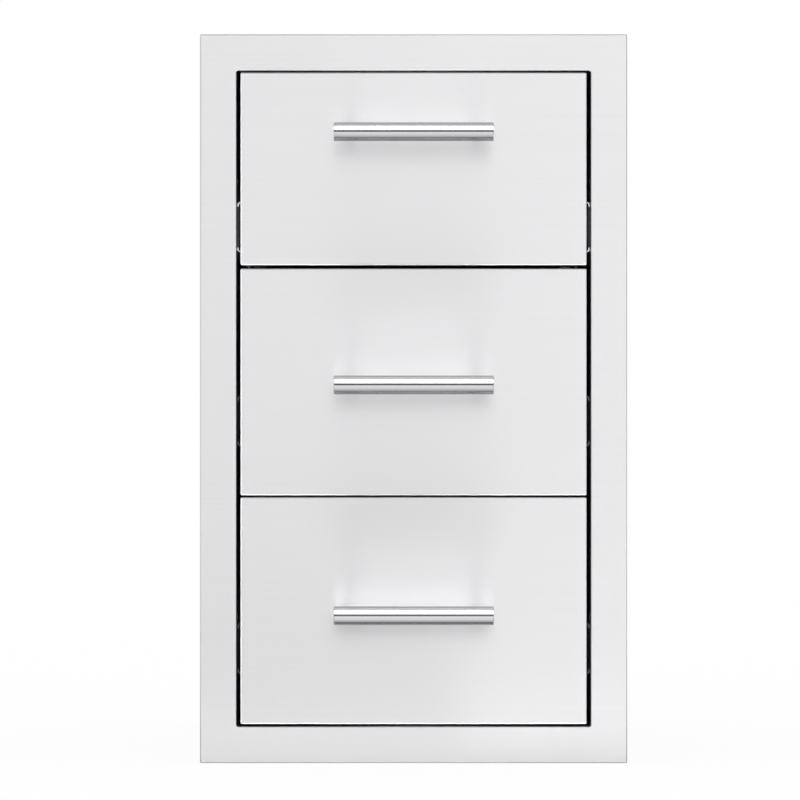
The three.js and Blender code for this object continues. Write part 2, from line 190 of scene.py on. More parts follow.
def corner_ring(half_width, half_height, radius, y, middle, steps):
    """Rectangle with rounded corners, square to Y, as a ring of points."""
    ring = []
    for quarter, (a, b) in enumerate(((1, 1), (-1, 1), (-1, -1), (1, -1))):
        centre_x = a * (half_width - radius)
        centre_z = b * (half_height - radius)
        for step in range(steps + 1):
            angle = math.radians(90 * quarter + 90 * step / steps)
            x = centre_x + radius * math.cos(angle)
            ring.append(Vector((x, y, middle + centre_z + radius * math.sin(angle))))
    return ring


def rings_round(node, section, rounding, steps):
    """A sheet's section, as inset and depth, carried round the edge of a node's box."""
    low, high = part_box(node)
    middle = (low.z + high.z) / 2
    half_height = (high.z - low.z) / 2
    return [
        corner_ring(high.x - inset, half_height - inset, rounding(inset, y), y, middle, steps)
        for inset, y in section
    ]


def quarter_turn(steps):
    """Cosine and sine of evenly spaced angles from 0 to 90 degrees."""
    angles = [math.radians(90 * step / steps) for step in range(steps + 1)]
    return [(math.cos(angle), math.sin(angle)) for angle in angles]


# Meshes


def finished_mesh(name, points, faces):
    """Closed mesh with its faces turned outwards, and crisp edges only where the metal has them."""
    mesh = bpy.data.meshes.new(name)
    mesh.from_pydata([tuple(point) for point in points], [], faces)
    mesh.update()
    shell = bmesh.new()
    shell.from_mesh(mesh)
    bmesh.ops.recalc_face_normals(shell, faces=shell.faces)
    shell.to_mesh(mesh)
    shell.free()
    soften(mesh)
    return mesh


def soften(mesh):
    mesh.shade_smooth()
    mesh.set_sharp_from_angle(angle=CRISP_ANGLE)


def joined_rings(name, rings, closed):
    """Skin over a row of rings: a closed row makes a hoop, an open one gets a cap at each end."""
    count = len(rings[0])
    points = [point for ring in rings for point in ring]
    faces = []
    strips = len(rings) if closed else len(rings) - 1
    for row in range(strips):
        here = row * count
        there = (row + 1) % len(rings) * count
        for k in range(count):
            turn = (k + 1) % count
            faces.append((here + k, here + turn, there + turn, there + k))
    if not closed:
        faces.append(tuple(range(count))[::-1])
        faces.append(tuple(range(len(points) - count, len(points))))
    return finished_mesh(name, points, faces)


def turned_mesh(name, profile, steps, place):
    """Solid of revolution: the profile is radius and distance along the axis, and place sets it down."""
    rings = []
    for radius, along in profile:
        ring = []
        for step in range(steps):
            angle = math.tau * step / steps
            ring.append(place @ Vector((radius * math.cos(angle), radius * math.sin(angle), along)))
        rings.append(ring)
    return joined_rings(name, rings, closed=False)


def merged(name, meshes):
    """One mesh from several, for fasteners of one kind that ride on one body."""
    whole = bmesh.new()
    for mesh in meshes:
        whole.from_mesh(mesh)
        bpy.data.meshes.remove(mesh)
    mesh = bpy.data.meshes.new(name)
    whole.to_mesh(mesh)
    whole.free()
    soften(mesh)
    return mesh


def drilled(mesh, drills):
    """The mesh with holes cut by the drill meshes."""
    block = bpy.data.objects.new(mesh.name, mesh)
    tool = bpy.data.objects.new("drills", merged("drills", drills))
    for obj in (block, tool):
        bpy.context.scene.collection.objects.link(obj)
    cut = block.modifiers.new("holes", "BOOLEAN")
    cut.operation = "DIFFERENCE"
    cut.solver = "EXACT"
    cut.object = tool
    shape = block.evaluated_get(bpy.context.evaluated_depsgraph_get())
    result = bpy.data.meshes.new_from_object(shape)
    name, drill_mesh = mesh.name, tool.data
    bpy.data.objects.remove(block)
    bpy.data.objects.remove(tool)
    bpy.data.meshes.remove(mesh)
    bpy.data.meshes.remove(drill_mesh)
    result.name = name
    soften(result)
    return result


def standing(centre, outwards):
    """Place of a turned shape whose own Z axis points a given way."""
    turn = Vector((0, 0, 1)).rotation_difference(Vector(outwards)).to_matrix().to_4x4()
    return Matrix.Translation(centre) @ turn


def drill(diameter, length, centre, axis):
    radius = diameter / 2
    profile = [(radius, -length / 2), (radius, length / 2)]
    return turned_mesh("drill", profile, 32, standing(centre, axis))


def add_piece(name, mesh, body, slot, replaced=()):
    """Puts a mesh on its body with the finish of its slot, in place of CAD nodes where it names them."""
    piece = bpy.data.objects.new(name, mesh)
    bpy.context.scene.collection.objects.link(piece)
    mesh.materials.clear()
    mesh.materials.append(finish(slot))
    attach(piece, body)
    if replaced:
        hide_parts(*replaced)


def dress_nodes(slot, *names):
    """Gives CAD nodes the finish of their slot."""
    for name in names:
        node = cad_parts[name]
        if not node.material_slots:
            raise RuntimeError(f"{name} has no material slot")
        for place in node.material_slots:
            place.material = finish(slot)


# Finishes


def finish(slot):
    made = bpy.data.materials.get(slot + "_finish")
    return made or FINISHES[slot](slot + "_finish")


def new_metal(name):
    """Material with one metallic shader: gives it, its tree, the shader and the settings of the finishes."""
    material = bpy.data.materials.new(name)
    material.use_nodes = True
    tree = material.node_tree
    tree.nodes.clear()
    output = tree.nodes.new("ShaderNodeOutputMaterial")
    shader = tree.nodes.new("ShaderNodeBsdfPrincipled")
    shader.inputs["Metallic"].default_value = 1
    tree.links.new(shader.outputs["BSDF"], output.inputs["Surface"])
    return material, tree, shader, bpy.context.scene.drawer_unit_finishes


def wire(tree, shader, colour, roughness):
    tree.links.new(colour, shader.inputs["Base Color"])
    tree.links.new(roughness, shader.inputs["Roughness"])


def feed(tree, socket, value):
    """Links an output to a socket, or sets the socket to a plain value."""
    if isinstance(value, bpy.types.NodeSocket):
        tree.links.new(value, socket)
    else:
        socket.default_value = value


def math_node(tree, operation, first, second=0):
    node = tree.nodes.new("ShaderNodeMath")
    node.operation = operation
    for socket, value in zip(node.inputs, (first, second)):
        feed(tree, socket, value)
    return node.outputs["Value"]


def mapped(tree, value, start, end, low=0, high=1, step="LINEAR"):
    """A value carried from one range to another and held at its ends."""
    span = tree.nodes.new("ShaderNodeMapRange")
    span.interpolation_type = step
    for name, number in (("From Min", start), ("From Max", end), ("To Min", low), ("To Max", high)):
        span.inputs[name].default_value = number
    tree.links.new(value, span.inputs["Value"])
    return span.outputs["Result"]


def eased(tree, start, end, value):
    """0 below the start and 1 above the end, with a soft step between them."""
    return mapped(tree, value, start, end, step="SMOOTHSTEP")


def spread(tree, value, low, high):
    """A noise value spread over a range."""
    return mapped(tree, value, 0.3, 0.7, low, high)


def blended(tree, first, second, share, kind="FLOAT"):
    """From the first value to the second as the share goes from 0 to 1."""
    mix = tree.nodes.new("ShaderNodeMix")
    mix.data_type = kind
    for name, value in (("Factor", share), ("A", first), ("B", second)):
        feed(tree, mix.inputs[name], value)
    return mix.outputs["Result"]


def axes_of(tree, output, node="ShaderNodeTexCoord"):
    """X, Y and Z of a place or a direction."""
    axes = tree.nodes.new("ShaderNodeSeparateXYZ")
    tree.links.new(tree.nodes.new(node).outputs[output], axes.inputs["Vector"])
    return axes.outputs


def stretched_noise(tree, scale, detail):
    """Noise in the piece's own space, drawn out along the axes that have a small scale."""
    place = tree.nodes.new("ShaderNodeTexCoord")
    stretch = tree.nodes.new("ShaderNodeMapping")
    stretch.inputs["Scale"].default_value = scale
    noise = tree.nodes.new("ShaderNodeTexNoise")
    noise.inputs["Scale"].default_value = 1
    noise.inputs["Detail"].default_value = detail
    tree.links.new(place.outputs["Object"], stretch.inputs["Vector"])
    tree.links.new(stretch.outputs["Vector"], noise.inputs["Vector"])
    return noise.outputs["Fac"]


def tinted(tree, colour, amount, value):
    """A colour that a noise value makes a little lighter or darker."""
    darker = (*[channel * (1 - amount) for channel in colour], 1)
    lighter = (*[min(channel * (1 + amount), 1) for channel in colour], 1)
    return blended(tree, darker, lighter, value, "RGBA")


def brushed_steel(name):
    """Sheet brushed along its width: the light draws out upwards and downwards."""
    material, tree, shader, look = new_metal(name)
    grain = stretched_noise(tree, BRUSH_GRAIN, 2)
    cloud = stretched_noise(tree, BRUSH_CLOUD, 2)
    shade = tinted(tree, look.face_colour, 0.022, spread(tree, grain, 0.2, 0.8))
    rough = spread(tree, cloud, look.face_roughness - 0.02, look.face_roughness + 0.02)
    wire(tree, shader, shade, rough)
    shader.inputs["Anisotropic"].default_value = look.face_stretch
    shader.inputs["Anisotropic Rotation"].default_value = 0.25
    tangent = tree.nodes.new("ShaderNodeTangent")
    tangent.direction_type = "RADIAL"
    tangent.axis = "Z"
    tree.links.new(tangent.outputs["Tangent"], shader.inputs["Tangent"])
    bump = tree.nodes.new("ShaderNodeBump")
    bump.inputs["Strength"].default_value = 0.12
    bump.inputs["Distance"].default_value = 0.01 * MM
    tree.links.new(grain, bump.inputs["Height"])
    tree.links.new(bump.outputs["Normal"], shader.inputs["Normal"])
    return material


def turned_steel(name):
    """Bar finished on a lathe: fine rings round its length, and painted shade on its underside, a darker
    colour where its faces point down.
    """
    material, tree, shader, look = new_metal(name)
    rings = stretched_noise(tree, LATHE_RINGS, 1)
    spot, faces = axes_of(tree, "Object"), axes_of(tree, "Normal")
    on_bar = math_node(tree, "LESS_THAN", spot["Y"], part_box("top_handle_bar")[1].y)
    # Painted shade: faces of the bar that point down take a darker colour, as if in shade
    underside = eased(tree, 0.5, 0.75, math_node(tree, "MULTIPLY", faces["Z"], -1))
    dull_ends_and_painted_shade = math_node(tree, "MULTIPLY", on_bar, underside)
    bright = tinted(tree, look.handle_colour, 0.015, rings)
    shade = blended(tree, bright, (*look.handle_painted_shade_colour, 1), dull_ends_and_painted_shade, "RGBA")
    rough = spread(tree, rings, look.handle_roughness - 0.015, look.handle_roughness + 0.015)
    wire(tree, shader, shade, rough)
    return material


def mill_steel(colour_name, roughness, cloud_scale):
    """Plain rolled sheet: dull, a little cloudy, with faint rolling lines."""

    def make(name):
        material, tree, shader, look = new_metal(name)
        cloud = stretched_noise(tree, (cloud_scale, cloud_scale, cloud_scale), 4)
        lines = stretched_noise(tree, ROLLING_LINES, 2)
        shade = tinted(tree, getattr(look, colour_name), 0.05, spread(tree, cloud, 0, 1))
        wire(tree, shader, shade, spread(tree, lines, roughness - 0.05, roughness + 0.05))
        return material

    return make


def zinc_plating(name):
    """Bright zinc with a faint bluish grain and duller cut ends; the sheared ends but for the rolled lips
    carry painted shade, a near-black colour.
    """
    material, tree, shader, look = new_metal(name)
    grain = stretched_noise(tree, ZINC_GRAIN, 3)
    cloud = stretched_noise(tree, ZINC_CLOUD, 2)
    plated = tinted(tree, look.zinc_colour, 0.07, spread(tree, cloud, 0, 1))
    along = math_node(tree, "ABSOLUTE", axes_of(tree, "Normal")["Y"])
    end = math_node(tree, "GREATER_THAN", along, END_FACING)
    share = axes_of(tree, "Generated")["Z"]
    from_middle = math_node(tree, "ABSOLUTE", math_node(tree, "SUBTRACT", share, 0.5))
    web = math_node(tree, "LESS_THAN", from_middle, 0.5 - LIP_SHARE)
    painted_shade_on_ends = math_node(tree, "MULTIPLY", end, web)
    # Painted shade: the cut ends but for the rolled lips take a near-black colour, as if in shade
    shade = blended(tree, plated, (*look.end_painted_shade_colour, 1), painted_shade_on_ends, "RGBA")
    dull_ends_and_painted_shade = math_node(tree, "MULTIPLY", end, 0.35)
    rough = math_node(tree, "ADD", spread(tree, grain, 0.24, 0.36), dull_ends_and_painted_shade)
    wire(tree, shader, shade, rough)
    return material


FINISHES = {
    "brushed_face_steel": brushed_steel,
    "handle_steel": turned_steel,
    "liner_sheet_steel": mill_steel("liner_colour", 0.4, 14),
    "tray_sheet_steel": mill_steel("tray_colour", 0.38, 10),
    "housing_sheet_steel": mill_steel("housing_colour", 0.42, 8),
    "upright_sheet_steel": mill_steel("upright_colour", 0.42, 12),
    "zinc_plated_steel": zinc_plating,
    "cage_steel": mill_steel("cage_colour", 0.34, 60),
}


class FinishSettings(bpy.types.PropertyGroup):
    face_colour: colour_property("Brushed steel", "Colour of the face frame and fronts", (0.76, 0.76, 0.77))
    face_roughness: share_property("Brushed roughness", "How dull the brushed sheet is", 0.42)
    face_stretch: share_property("Brushed stretch", "How far the brushing draws the light out", 0.8)
    handle_colour: colour_property("Handle steel", "Colour of the bars and posts", (0.52, 0.52, 0.53))
    # Painted shade: the darker colour that the bars take on their undersides, not a colour of the steel
    handle_painted_shade_colour: colour_property("Handle underside", "Colour under the bars", (0.235, 0.235, 0.24))
    handle_roughness: share_property("Handle roughness", "How dull the bars are", 0.11)
    liner_colour: colour_property("Liner steel", "Colour of the fronts' liners", (0.62, 0.62, 0.63))
    tray_colour: colour_property("Tray steel", "Colour of the drawer trays", (0.60, 0.61, 0.62))
    housing_colour: colour_property("Housing steel", "Colour of the housing", (0.58, 0.59, 0.60))
    upright_colour: colour_property("Upright steel", "Colour of the uprights", (0.56, 0.57, 0.58))
    zinc_colour: colour_property("Zinc", "Colour of the plated slides", (0.60, 0.62, 0.65))
    # Painted shade on the slides' cut ends, not the colour of the cut steel
    end_painted_shade_colour: colour_property("Sheared ends", "Colour of the slides' cut ends", (0.05, 0.05, 0.055))
    cage_colour: colour_property("Cage steel", "Colour of the ball cages", (0.45, 0.46, 0.48))


class SheetSettings(bpy.types.PropertyGroup):
    frame_fold: size_property("Frame fold", "Radius of the frame's folds at mid sheet", 1.1 * MM)
    frame_corner: size_property("Frame corner", "Rounding of the frame's outer corners", 1.2 * MM)
    opening_fold: size_property("Opening fold", "Radius of the fold round the opening", 0.9 * MM)
    opening_corner: size_property("Opening corner", "Rounding of the opening's corners", 2 * MM)
    front_fold: size_property("Front fold", "Radius of the fronts' folds at mid sheet", 1.1 * MM)
    front_corner: size_property("Front corner", "Rounding of the fronts' corners", 1.6 * MM)
    fold_steps: IntProperty(name="Fold steps", description="Facets in one fold", default=8, min=3)
    corner_steps: IntProperty(name="Corner steps", description="Facets in one corner", default=5, min=2)


class HandleSettings(bpy.types.PropertyGroup):
    edge: size_property("Bar edge", "Rounding of the bar's ends", 1.1 * MM)
    post: size_property("Post", "Diameter of a post", 10 * MM)
    collar: size_property("Collar", "Diameter of a post's collar", 14 * MM)
    collar_height: size_property("Collar height", "Height of a post's collar", 2 * MM)
    facets: IntProperty(name="Facets", description="Facets round the bar", default=96, min=24)


class StageSettings(bpy.types.PropertyGroup):
    camera_distance: size_property("Camera distance", "From the face of the frame to the camera", 4.0)
    camera_across: size_property("Camera across", "Camera to the right of the middle", -13.75 * MM, -10.0)
    camera_height: size_property("Camera height", "Camera above the origin", 362 * MM)
    picture_width: size_property("Picture width", "Width that the picture takes in at the face", 808.4 * MM)
    floor_size: size_property("Floor", "Side of the square floor", 14.0)
    floor_colour: colour_property("Floor colour", "Colour of the floor", (0.95, 0.95, 0.95))


# Pieces


class DRAWERUNIT_OT_face_frame(bpy.types.Operator):
    """Makes the folded face frame with its landing lip, flange and jamb"""

    bl_idname = "drawer_unit.face_frame"
    bl_label = "Face frame"

    def execute(self, context):
        sheet = context.scene.drawer_unit_sheets
        low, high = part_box("front_frame")
        half = FRAME_SHEET / 2
        flange = high.x - (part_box("top_slide_outer_right")[1].x + JAMB_PLAY)
        corners = [
            (LANDING_LIP, -half),
            (half, -half),
            (half, low.y + half),
            (flange - half, low.y + half, sheet.opening_fold),
            (flange - half, high.y),
        ]
        outline = sheet_outline(folded(corners, sheet.frame_fold, sheet.fold_steps), FRAME_SHEET)
        bend = sheet.frame_fold + half

        def rounding(inset, y):
            """Corner radius at the frame's outer edge, or at the opening for what lines it."""
            if inset > flange - 2 * bend and y < high.y + half:
                return sheet.opening_corner + flange - inset
            outer = sheet.frame_corner - inset * (sheet.frame_corner - LEAST_CORNER) / bend
            return max(outer, LEAST_CORNER)

        rings = rings_round("front_frame", outline, rounding, sheet.corner_steps)
        frame_mesh = joined_rings("face_frame", rings, closed=True)
        reach = (high.z - low.z) / 2 - flange - FIXING_HOLE_FROM_CORNER
        holes = []
        for way in (-1, 1):
            centre = Vector((0, FIXING_HOLE_SETBACK, middle_of("front_frame", Z_AXIS) + way * reach))
            holes.append(drill(FIXING_HOLE, 2 * high.x, centre, (1, 0, 0)))
        add_piece("face_frame", drilled(frame_mesh, holes), CABINET, "brushed_face_steel", ["front_frame"])
        return {"FINISHED"}


class DRAWERUNIT_OT_drawer_fronts(bpy.types.Operator):
    """Makes the three drawer fronts, each a shallow pan folded from one sheet"""

    bl_idname = "drawer_unit.drawer_fronts"
    bl_label = "Drawer fronts"

    def execute(self, context):
        sheet = context.scene.drawer_unit_sheets
        outer = sheet.front_fold + FRONT_SHEET / 2

        def rounding(inset, y):
            corner = sheet.front_corner
            return max(LEAST_CORNER, corner - inset * (corner - LEAST_CORNER) / outer)

        for drawer in DRAWERS:
            panel = f"{drawer}_front_panel"
            low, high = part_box(panel)
            section = self.pan_section(sheet, low.y, high.y, outer)
            name = f"{drawer}_drawer_front"
            rings = rings_round(panel, section, rounding, sheet.corner_steps)
            pan = joined_rings(name, rings, closed=False)
            bar = middle_of(f"{drawer}_handle_bar", Z_AXIS)
            holes = []
            for side, way in SIDES:
                centre = Vector((middle_of(f"{drawer}_handle_post_{side}", X_AXIS), low.y, bar))
                holes.append(drill(STUD_HOLE, 4 * FRONT_SHEET, centre, (0, 1, 0)))
            add_piece(name, drilled(pan, holes), f"{drawer}_drawer", "brushed_face_steel", [panel])
        return {"FINISHED"}

    @staticmethod
    def pan_section(sheet, face, rear, outer):
        """Inset and depth from the outer face, round the fold, to the rim and back to the inner face."""
        inner = sheet.front_fold - FRONT_SHEET / 2
        turns = quarter_turn(sheet.fold_steps)
        section = [(outer + FLAT_STRIP, face)]
        section += [(outer - outer * sine, face + outer - outer * cosine) for cosine, sine in turns]
        section += [(0, face + outer + FLAT_STRIP), (0, rear), (FRONT_SHEET, rear)]
        section.append((FRONT_SHEET, face + outer + FLAT_STRIP))
        section += [(outer - inner * sine, face + outer - inner * cosine) for cosine, sine in turns[::-1]]
        section.append((outer + FLAT_STRIP, face + FRONT_SHEET))
        return section


class DRAWERUNIT_OT_handles(bpy.types.Operator):
    """Makes the bar handles and their posts with collars and studs"""

    bl_idname = "drawer_unit.handles"
    bl_label = "Handles"

    def execute(self, context):
        handle = context.scene.drawer_unit_handles
        for drawer in DRAWERS:
            body = f"{drawer}_drawer"
            bar_node = f"{drawer}_handle_bar"
            low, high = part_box(bar_node)
            centre = (low + high) / 2
            radius = (high.z - low.z) / 2
            half = (high.x - low.x) / 2
            edge = handle.edge
            profile = [(LEAST_RADIUS, -half)]
            for cosine, sine in quarter_turn(EDGE_STEPS):
                profile.append((radius - edge + edge * sine, -half + edge - edge * cosine))
            profile.append((radius, -half + edge + FLAT_STRIP))
            profile += [(out, -along) for out, along in reversed(profile)]
            bar = turned_mesh(f"{drawer}_bar", profile, handle.facets, standing(centre, (1, 0, 0)))
            add_piece(f"{drawer}_bar", bar, body, "handle_steel", [bar_node])
            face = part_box(f"{drawer}_front_panel")[0].y
            for side, way in SIDES:
                node = f"{drawer}_handle_post_{side}"
                post = self.post(f"{drawer}_bar_post_{side}", handle, node, centre, radius, face)
                add_piece(f"{drawer}_bar_post_{side}", post, body, "handle_steel", [node])
        return {"FINISHED"}

    @staticmethod
    def post(name, handle, node, bar_centre, bar_radius, face):
        """Post on its collar, with a stud behind it and its end hollowed to sit on the bar."""
        low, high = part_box(node)
        foot = face - HANDLE_SEAM
        reach = foot - (bar_centre.y + bar_radius)
        tip = foot - high.y
        stud, collar, post = STUD / 2, handle.collar / 2, handle.post / 2
        top = handle.collar_height
        edge, bevel, cove, end_ring, seam = 0.6 * MM, 0.15 * MM, 0.8 * MM, 0.5 * MM, 0.02 * MM
        profile = [(LEAST_RADIUS, tip), (stud - edge / 2, tip), (stud, tip + edge / 2)]
        profile += [(stud, 0), (collar - bevel, 0), (collar, bevel)]
        turns = quarter_turn(EDGE_STEPS)
        profile += [(collar - edge + edge * cosine, top - edge + edge * sine) for cosine, sine in turns]
        profile += [(post + cove - cove * sine, top + cove - cove * cosine) for cosine, sine in turns]
        profile += [(post, reach - end_ring), (post, reach), (LEAST_RADIUS, reach)]
        place = standing(Vector(((low.x + high.x) / 2, foot, bar_centre.z)), (0, -1, 0))
        mesh = turned_mesh(name, profile, 48, place)
        end = foot - reach
        for vertex in mesh.vertices:
            if abs(vertex.co.y - end) < seam / 2:
                rise = vertex.co.z - bar_centre.z
                seat = math.sqrt(max(bar_radius**2 - rise**2, 0))
                vertex.co.y = bar_centre.y + seat + seam
        soften(mesh)
        return mesh


# Fasteners


def turned_fastener(name, profile, steps, place):
    """Turned shape with its profile in millimetres."""
    return turned_mesh(name, [(out * MM, along * MM) for out, along in profile], steps, place)


def fastener_ring(place, outs, along):
    """Ring of points round a fastener's axis: how far out each is, and how far along, in millimetres."""
    ring = []
    for number, out in enumerate(outs):
        turn = math.tau * number / len(outs)
        ring.append(place @ (Vector((out * math.cos(turn), out * math.sin(turn), along)) * MM))
    return ring


def round_ring(place, out, along):
    return fastener_ring(place, [out] * FASTENER_FACETS, along)


def hexagon(flat):
    """How far out the points of a ring are on a hexagon, from the distance of its flats."""
    sixth = math.pi / 3
    turns = [math.tau * number / FASTENER_FACETS for number in range(FASTENER_FACETS)]
    return [flat / math.cos((turn + sixth / 2) % sixth - sixth / 2) for turn in turns]


def spot_weld(place):
    """Shallow round mark that a spot weld leaves, with a raised rim."""
    profile = [(3.0, 0.0), (2.6, 0.14), (2.1, 0.16), (1.5, 0.04), (0.05, 0.05)]
    return turned_fastener("weld", profile, 20, place)


def rivet(place):
    """Domed head of a blind rivet with the hollow of its stem."""
    dome = [(3.2, 0), (3.2, 0.25), (2.9, 0.75), (2.2, 1.15), (1.3, 1.3)]
    hollow = [(1.0, 1.25), (0.9, 0.7), (0.05, 0.65)]
    return turned_fastener("rivet", dome + hollow, 20, place)


def pan_screw(place):
    """Low domed screw head with a six-sided socket."""
    dome = [(4.0, 0), (4.0, 0.5), (3.7, 1.1), (3.0, 1.65), (2.2, 1.9)]
    socket = [(1.35, 1.9), (1.3, 0.7)]
    rings = [round_ring(place, out, along) for out, along in dome]
    for corner, along in socket:
        rings.append(fastener_ring(place, hexagon(corner * math.cos(math.pi / 6)), along))
    return joined_rings("screw", rings, closed=False)


def hex_nut(place):
    """Nut with chamfered corners on a plain washer."""
    flat, corner, bore, washer_rim = 4, 4.62, 2.55, 5
    low, high, chamfer = 1.0, 5.0, 0.35
    washer_profile = [(washer_rim, 0), (washer_rim, low), (bore, low), (bore, 0)]
    washer = turned_fastener("washer", washer_profile, 32, place)
    rings = []
    for share, along in ((0.93, low), (1.0, low + chamfer), (1.0, high - chamfer), (0.93, high)):
        outs = [min(out, corner * share) for out in hexagon(flat)]
        rings.append(fastener_ring(place, outs, along))
    rings += [round_ring(place, bore, along) for along in (high, low)]
    return merged("nut", [washer, joined_rings("nut_body", rings, closed=True)])


def spaced(start, end, count):
    return [start + (end - start) * i / (count - 1) for i in range(count)]


def set_down(shape, places, outwards):
    """Fasteners of one kind, all facing the same way."""
    return [shape(standing(Vector(place), outwards)) for place in places]


class DRAWERUNIT_OT_housing_fasteners(bpy.types.Operator):
    """Adds the spot welds and blind rivets that hold the housing together"""

    bl_idname = "drawer_unit.housing_fasteners"
    bl_label = "Housing fasteners"

    def execute(self, context):
        low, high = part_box("housing_right_side")
        rear = high.y - BACK_ROW
        welds, rivets = [], []
        for way in (-1, 1):
            out, side = (way, 0, 0), way * high.x
            land = way * (high.x - LAND_STEP)
            levels = spaced(low.z + SIDE_FIRST, high.z - SIDE_FIRST, 8)
            welds += set_down(spot_weld, [(land, LAND_DEPTH, z) for z in levels], out)
            for upright in ("upright_front_right", "upright_rear_right"):
                foot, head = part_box(upright)
                levels = spaced(foot.z + UPRIGHT_FIRST, head.z - UPRIGHT_FIRST, 8)
                for y in (foot.y + UPRIGHT_ROW, head.y - UPRIGHT_ROW):
                    welds += set_down(spot_weld, [(side, y, z) for z in levels], out)
            for z in (low.z + DECK_ROW, high.z - DECK_ROW):
                rivets += set_down(rivet, [(side, y, z) for y in spaced(60 * MM, 440 * MM, 4)], out)
            levels = spaced(low.z + BACK_FIRST, high.z - BACK_FIRST, 5)
            rivets += set_down(rivet, [(side, rear, z) for z in levels], out)
        for level, up in ((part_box("housing_top")[1].z, 1), (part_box("housing_bottom")[0].z, -1)):
            land, out = level - up * LAND_STEP, (0, 0, up)
            across = spaced(-150 * MM, 150 * MM, 5)
            welds += set_down(spot_weld, [(x, LAND_DEPTH, land) for x in across], out)
            across = spaced(-140 * MM, 140 * MM, 3)
            rivets += set_down(rivet, [(x, rear, level) for x in across], out)
        add_piece("housing_spot_welds", merged("housing_spot_welds", welds), CABINET, "housing_sheet_steel")
        add_piece("housing_rivets", merged("housing_rivets", rivets), CABINET, "zinc_plated_steel")
        return {"FINISHED"}


class DRAWERUNIT_OT_drawer_fasteners(bpy.types.Operator):
    """Adds the screws that hold each tray to its slides and its front, and the nuts of the handle"""

    bl_idname = "drawer_unit.drawer_fasteners"
    bl_label = "Drawer fasteners"

    def execute(self, context):
        for drawer in DRAWERS:
            low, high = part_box(f"{drawer}_tray")
            inside = low.y + TRAY_SHEET
            slide = middle_of(f"{drawer}_slide_inner_right", Z_AXIS)
            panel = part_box(f"{drawer}_front_panel")[0].y + FRONT_SHEET
            bar = middle_of(f"{drawer}_handle_bar", Z_AXIS)
            screws, nuts = [], []
            for side, way in SIDES:
                wall, corner = way * (high.x - TRAY_SHEET), way * (high.x - SCREWS_FROM_SIDE)
                screws += set_down(pan_screw, [(wall, y, slide) for y in SLIDE_SCREWS], (-way, 0, 0))
                levels = (low.z + SCREWS_FROM_CORNER, high.z - SCREWS_FROM_CORNER)
                screws += set_down(pan_screw, [(corner, inside, z) for z in levels], (0, 1, 0))
                post = middle_of(f"{drawer}_handle_post_{side}", X_AXIS)
                nuts += set_down(hex_nut, [(post, panel, bar)], (0, 1, 0))
            level = low.z + SCREWS_FROM_FLOOR
            screws += set_down(pan_screw, [(x, inside, level) for x in FLOOR_SCREWS], (0, 1, 0))
            for name, marks in ((f"{drawer}_tray_screws", screws), (f"{drawer}_handle_nuts", nuts)):
                add_piece(name, merged(name, marks), f"{drawer}_drawer", "zinc_plated_steel")
        return {"FINISHED"}


class DRAWERUNIT_OT_inner_parts(bpy.types.Operator):
    """Gives the CAD housing, uprights, trays, liners, slides and cages their finishes"""

    bl_idname = "drawer_unit.inner_parts"
    bl_label = "Inner parts"

    def execute(self, context):
        decks = ("housing_left_side", "housing_right_side", "housing_top", "housing_bottom", "housing_back")
        dress_nodes("housing_sheet_steel", *decks)
        for place in ("front", "rear"):
            dress_nodes("upright_sheet_steel", f"upright_{place}_left", f"upright_{place}_right")
        for drawer in DRAWERS:
            dress_nodes("liner_sheet_steel", f"{drawer}_front_liner")
            dress_nodes("tray_sheet_steel", f"{drawer}_tray")
            for side, way in SIDES:
                members = [f"{drawer}_slide_{member}_{side}" for member in ("outer", "middle", "inner")]
                dress_nodes("zinc_plated_steel", *members)
                dress_nodes("cage_steel", f"{drawer}_outer_cage_{side}", f"{drawer}_inner_cage_{side}")
        return {"FINISHED"}


# Studio

# Brightness of the studio by height: degrees up from straight ahead of the fronts, and level
STUDIO_BY_HEIGHT = (
    (-180, 0.6),
    (-130, 0.6),
    (-90, 0.8),
    (-45, 0.95),
    (-14, 1.0),
    (-9, 0.8),
    (-6, 0.12),
    (9, 0.06),
    (12, 0.4),
    (16, 1.25),
    (28, 1.25),
    (34, 0.8),
    (46, 0.5),
    (60, 0.35),
    (115, 0.35),
    (140, 0.6),
    (180, 0.6),
)

# Brightness of the studio by direction: degrees to the right of straight ahead, and factor
STUDIO_ROUND = (
    (-180, 1.0),
    (-100, 0.85),
    (-24, 0.75),
    (-10, 0.8),
    (0, 1.02),
    (10, 1.5),
    (20, 1.45),
    (32, 0.95),
    (58, 0.75),
    (90, 0.35),
    (130, 0.7),
    (180, 1.0),
)

# Brightness of the studio to the left and the right of the unit
SIDE_LEVELS = (0.8, 0.5)

# Level that a colour ramp's white stands for
BRIGHTEST = 2.5

# Power per square metre of a lamp at level 1
LAMP_POWER = 4

# Softboxes: width and height, centre, the point that each faces, and level
BAR_SOFTBOX = ((5, 1.4), (0, -1.7, 2.1), (0, -0.05, 0.4), 11)
SHEET_SOFTBOX = ((8, 1.35), (0, -5, 1.1), (0, 0, 0.95), 0.57)
SHEET_TOP_SOFTBOX = ((8, 0.8), (0, -1.6, 1.45), (0, 0, 0.7), 0.42)
SHEET_FLOOR_SOFTBOX = ((4, 0.4), (2.05, -0.27, 0), (2.05, -0.27, 1), 0.27)
SLIDE_SOFTBOX = ((8, 1.35), (0, -5, 0.95), (0, 0, 0.95), 5)
SKIRTING_SOFTBOX = ((0.8, 0.02), (0, -0.13, 0.006), (0, 0, 0.006), 1)
FRONT_EDGE_SOFTBOX = ((1.5, 0.8), (-2.92, -0.67, 0.4), (0, 0, 0.4), 8)
FRAME_TOP_SOFTBOX = ((8, 0.9), (0, -0.85, 3.6), (0, 0, 0.73), 0.5)
FRAME_LOW_SOFTBOX = ((8, 0.9), (0, -2.6, -2), (0, 0, 0), 1.4)
